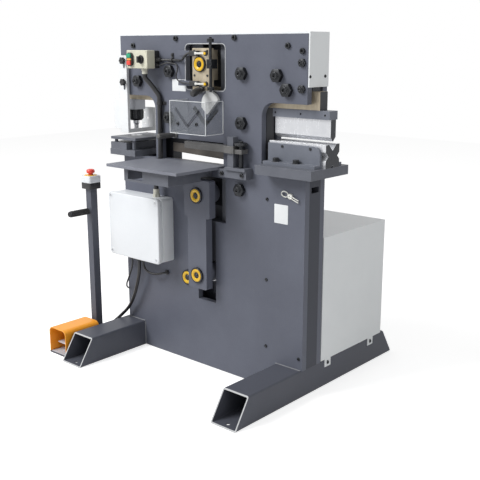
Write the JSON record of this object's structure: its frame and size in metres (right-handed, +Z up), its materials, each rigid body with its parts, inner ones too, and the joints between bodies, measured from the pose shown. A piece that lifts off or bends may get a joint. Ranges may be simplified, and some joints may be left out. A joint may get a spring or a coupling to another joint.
{
  "type": "hydraulic ironworker",
  "caption": "Floor-standing hydraulic ironworker: punch, flat and angle shears and a bending tool on one ram between thick side plates, with skids, power unit and pedal stand.",
  "frame": {"origin": "centre of the footprint, on the floor", "axes": "+X along the side plates to the bending station, +Y to the back, +Z up"},
  "size_m": [1.334, 1.146, 1.507],
  "materials": {
    "frame_paint": "satin slate paint",
    "grey_paint": "worn dark grey paint",
    "pale_sheet": "smooth pale paint",
    "white_sheet": "smooth white paint",
    "box_plastic": "beige moulded lid on a black base",
    "switch_body": "pale sheet arms",
    "black_plastic": "moulded",
    "gland_plastic": "moulded",
    "cable_rubber": "matt jacket",
    "nut_steel": "blackened",
    "bronze": "machined",
    "bright_steel": "ground",
    "ram_steel": "bare, oiled",
    "yellow_cap": "gloss",
    "clear_guard": "clear sheet",
    "orange_plastic": "moulded",
    "red_plastic": "moulded",
    "green_plastic": "moulded"
  },
  "bodies": {
    "frame": {"front_plate": "frame_paint", "rear_plate": "frame_paint", "frame_spacers": "frame_paint", "left_skid": "frame_paint", "right_skid": "frame_paint", "top_cover": "pale_sheet", "guide_adjusters": "nut_steel", "guide_pads": "bronze", "cylinder_barrel": "frame_paint", "power_cover": "pale_sheet", "power_pack": "grey_paint", "control_box": "box_plastic", "enclosure_base": "white_sheet", "enclosure_lid": "white_sheet", "cable_fittings": "gland_plastic", "switch_cables": "cable_rubber", "limit_switches": "switch_body", "punch_bolster": "grey_paint", "die_holder": "grey_paint", "punch_die": "bright_steel", "punch_table": "grey_paint", "brake_table": "grey_paint", "vee_die": "bright_steel", "die_brackets": "grey_paint", "angle_guard": "clear_guard", "fixed_blades": "bright_steel", "shear_table": "grey_paint", "table_support": "grey_paint", "hold_down_frame": "grey_paint", "anchor_pin": "yellow_cap", "front_handle": "bright_steel", "pedal_stand": "grey_paint", "pedal_hood": "orange_plastic", "stop_station": "white_sheet", "pedal_cable": "cable_rubber", "motor_cable": "cable_rubber"},
    "ram": {"ram_plate": "ram_steel", "ram_boss": "ram_steel", "punch_holder": "nut_steel", "punch": "bright_steel", "brake_holder": "grey_paint", "brake_punch": "bright_steel", "moving_blades": "bright_steel", "tie_links": "frame_paint", "link_pins": "yellow_cap", "piston_rod": "bright_steel", "trip_rod": "nut_steel", "angle_hold_down": "pale_sheet"},
    "start_button_body": {"start_button": "green_plastic"},
    "stop_button_body": {"stop_button": "red_plastic"},
    "selector_knob_body": {"selector_knob": "black_plastic"},
    "upper_switch_lever_body": {"upper_switch_lever": "yellow_cap"},
    "lower_switch_lever_body": {"lower_switch_lever": "yellow_cap"},
    "punch_guard_body": {"punch_guard": "white_sheet"},
    "upper_guard_knob_body": {"upper_guard_knob": "black_plastic"},
    "lower_guard_knob_body": {"lower_guard_knob": "black_plastic"},
    "hold_down_bar_body": {"hold_down_bar": "bright_steel"},
    "hold_down_screw_body": {"hold_down_screw": "nut_steel"},
    "pedal_lever_body": {"pedal_lever": "bright_steel"},
    "stop_mushroom_body": {"stop_mushroom": "red_plastic"}
  },
  "joints": [
    {"name": "ram_slide", "type": "slide", "parent": "frame", "child": "ram", "axis": [0, 0, -1], "range_m": [0, 0.034]},
    {"name": "pedal_press", "type": "hinge", "parent": "frame", "child": "pedal_lever_body", "pos_m": [-0.603, -0.348, 0.044], "axis": [1, 0, 0], "range_deg": [0, 10], "stiffness_Nm_per_rad": 6, "springref_deg": -20.05},
    {"name": "stop_press", "type": "slide", "parent": "frame", "child": "stop_mushroom_body", "axis": [0, 0, -1], "range_m": [0, 0.005], "stiffness_N_per_m": 900, "springref_m": -0.006},
    {"name": "start_button_press", "type": "slide", "parent": "frame", "child": "start_button_body", "axis": [0, 1, 0], "range_m": [0, 0.003], "stiffness_N_per_m": 500, "springref_m": -0.004},
    {"name": "stop_button_press", "type": "slide", "parent": "frame", "child": "stop_button_body", "axis": [0, 1, 0], "range_m": [0, 0.003], "stiffness_N_per_m": 500, "springref_m": -0.004},
    {"name": "selector_turn", "type": "hinge", "parent": "frame", "child": "selector_knob_body", "pos_m": [-0.278, -0.237, 1.396], "axis": [0, 1, 0], "range_deg": [0, 60]},
    {"name": "upper_switch_trip", "type": "hinge", "parent": "frame", "child": "upper_switch_lever_body", "pos_m": [0.036, -0.211, 1.424], "axis": [0, 1, 0], "range_deg": [0, 10], "stiffness_Nm_per_rad": 0.3, "springref_deg": -17.19},
    {"name": "lower_switch_trip", "type": "hinge", "parent": "frame", "child": "lower_switch_lever_body", "pos_m": [0.036, -0.211, 1.298], "axis": [0, -1, 0], "range_deg": [0, 10], "stiffness_Nm_per_rad": 0.3, "springref_deg": -17.19},
    {"name": "guard_lift", "type": "slide", "parent": "frame", "child": "punch_guard_body", "axis": [0, 0, 1], "range_m": [0, 0.03]},
    {"name": "upper_knob_turn", "type": "hinge", "parent": "frame", "child": "upper_guard_knob_body", "pos_m": [-0.459, -0.183, 1.388], "axis": [0, 1, 0], "continuous": true},
    {"name": "lower_knob_turn", "type": "hinge", "parent": "frame", "child": "lower_guard_knob_body", "pos_m": [-0.459, -0.183, 1.29], "axis": [0, 1, 0], "continuous": true},
    {"name": "hold_screw_turn", "type": "hinge", "parent": "frame", "child": "hold_down_screw_body", "pos_m": [0.271, -0.189, 1], "axis": [0, 0, -1], "range_deg": [0, 1982]},
    {"name": "hold_bar_slide", "type": "slide", "parent": "frame", "child": "hold_down_bar_body", "axis": [0, 0, -1], "range_m": [0, 0.055]}
  ],
  "couplings": [
    {"joint": "hold_screw_turn", "follows": "hold_bar_slide", "rad_per_m": 628.32}
  ]
}
